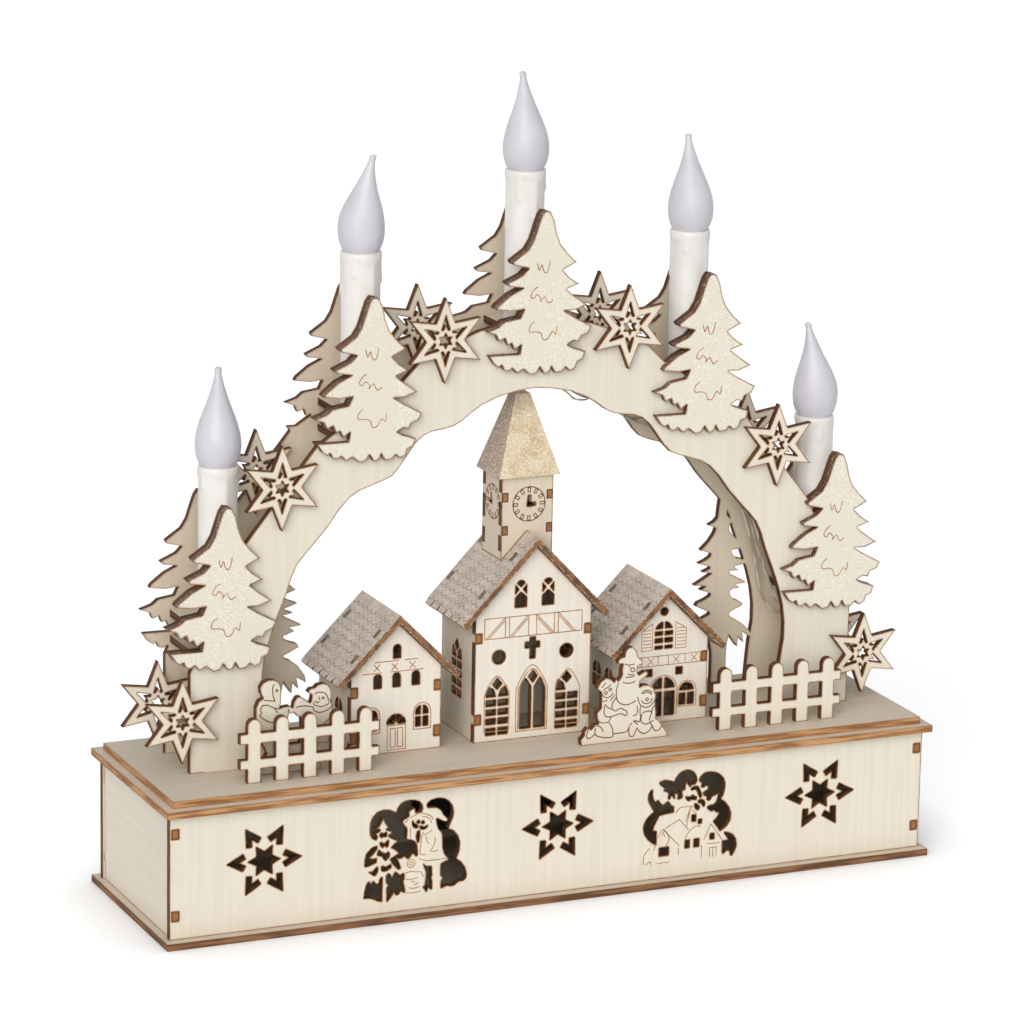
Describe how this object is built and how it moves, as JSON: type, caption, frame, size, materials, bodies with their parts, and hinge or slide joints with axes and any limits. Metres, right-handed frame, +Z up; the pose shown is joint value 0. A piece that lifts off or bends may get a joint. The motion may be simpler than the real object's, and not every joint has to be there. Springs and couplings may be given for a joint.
{
  "type": "wooden candle arch",
  "caption": "Lit wooden candle arch with a church village on a hollow battery box, cut from thin plywood boards.",
  "frame": {"origin": "middle of the underside of the base plate", "axes": "+X along the arch to the viewer's right, -Y towards the viewer, +Z up"},
  "size_m": [0.35, 0.095, 0.3438],
  "materials": {
    "plywood": "raw pale plywood with burnt cut edges",
    "snow_glitter": "plywood under a thin coat of white glitter",
    "roof_glitter": "plywood under a grey glitter coat",
    "spire_gold": "plywood under a gold glitter coat",
    "candle_sleeve": "satin white",
    "flame_cap": "frosted",
    "battery_plastic": "satin black",
    "wire": "clear coated wire"
  },
  "bodies": {
    "main": {"base_plate": "plywood", "box_front": "plywood", "box_back": "plywood", "box_left": "plywood", "box_right": "plywood", "lid_plate": "plywood", "stage_plate": "plywood", "arch_front": "plywood", "arch_back": "plywood", "church_front": "plywood", "church_shell": "plywood", "church_tower": "plywood", "left_house_front": "plywood", "left_house_shell": "plywood", "right_house_front": "plywood", "right_house_shell": "plywood", "fence_left": "plywood", "fence_right": "plywood", "snowman_plate": "plywood", "children_plate": "plywood", "front_star_1": "plywood", "front_star_2": "plywood", "front_star_3": "plywood", "front_star_4": "plywood", "front_star_5": "plywood", "front_star_6": "plywood", "back_star_1": "plywood", "back_star_2": "plywood", "back_star_3": "plywood", "back_star_4": "plywood", "back_star_5": "plywood", "back_star_6": "plywood", "candle_holder_1": "plywood", "candle_holder_2": "plywood", "candle_holder_3": "plywood", "candle_holder_4": "plywood", "candle_holder_5": "plywood", "fir_tree_1": "snow_glitter", "fir_tree_2": "snow_glitter", "fir_tree_3": "snow_glitter", "fir_tree_4": "snow_glitter", "fir_tree_5": "snow_glitter", "church_roof": "roof_glitter", "left_house_roof": "roof_glitter", "right_house_roof": "roof_glitter", "church_spire": "spire_gold", "candle_sleeve_1": "candle_sleeve", "candle_sleeve_2": "candle_sleeve", "candle_sleeve_3": "candle_sleeve", "candle_sleeve_4": "candle_sleeve", "candle_sleeve_5": "candle_sleeve", "candle_flame_1": "flame_cap", "candle_flame_2": "flame_cap", "candle_flame_3": "flame_cap", "candle_flame_4": "flame_cap", "candle_flame_5": "flame_cap", "battery_case": "battery_plastic", "light_string": "wire"},
    "cover": {"battery_cover": "plywood"},
    "slider": {"switch_slider": "battery_plastic"}
  },
  "joints": [
    {"name": "battery_cover_hinge", "type": "hinge", "parent": "main", "child": "cover", "pos_m": [0, 0.043, 0.0133], "axis": [-1, 0, 0], "range_deg": [0, 90]},
    {"name": "switch_slide", "type": "slide", "parent": "main", "child": "slider", "axis": [1, 0, 0], "range_m": [0, 0.004]}
  ]
}
